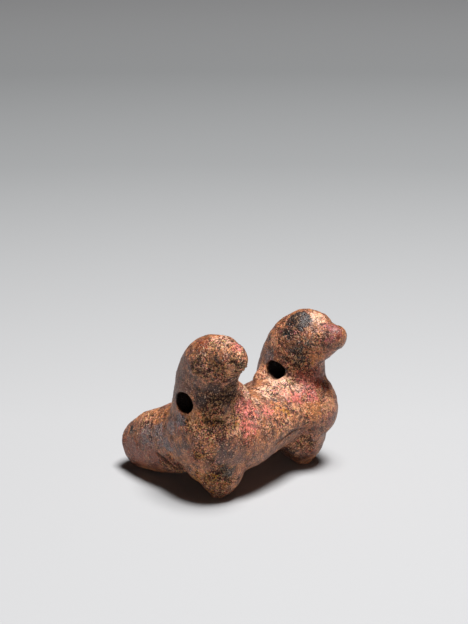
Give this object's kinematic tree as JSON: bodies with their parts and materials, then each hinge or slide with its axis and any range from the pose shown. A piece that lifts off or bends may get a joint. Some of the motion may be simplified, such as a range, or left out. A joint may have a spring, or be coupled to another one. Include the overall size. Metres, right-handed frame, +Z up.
{
  "type": "pottery whistle",
  "caption": "Double bird whistle in fired clay: two hollow birds side by side on a thick bridge, each with a tail mouthpiece, a foot and a pierced neck.",
  "frame": {"origin": "on the table, under the middle of the pair's bounding box", "axes": "+X from the tails to the beaks, +Y from the near bird to the far bird, +Z up"},
  "size_m": [0.0522, 0.0592, 0.0516],
  "materials": {
    "fired_clay": "low-fired brown earthenware, burnished in places, pitted and stained with red and black"
  },
  "bodies": {
    "root": {"near_bird_head": "fired_clay", "near_bird_beak": "fired_clay", "near_bird_upper_chamber": "fired_clay", "near_bird_lower_chamber": "fired_clay", "near_bird_foot": "fired_clay", "near_bird_tail": "fired_clay", "near_bird_windway_floor": "fired_clay", "far_bird_head": "fired_clay", "far_bird_beak": "fired_clay", "far_bird_upper_chamber": "fired_clay", "far_bird_lower_chamber": "fired_clay", "far_bird_foot": "fired_clay", "far_bird_tail": "fired_clay", "far_bird_windway_floor": "fired_clay", "bridge": "fired_clay"}
  },
  "joints": []
}
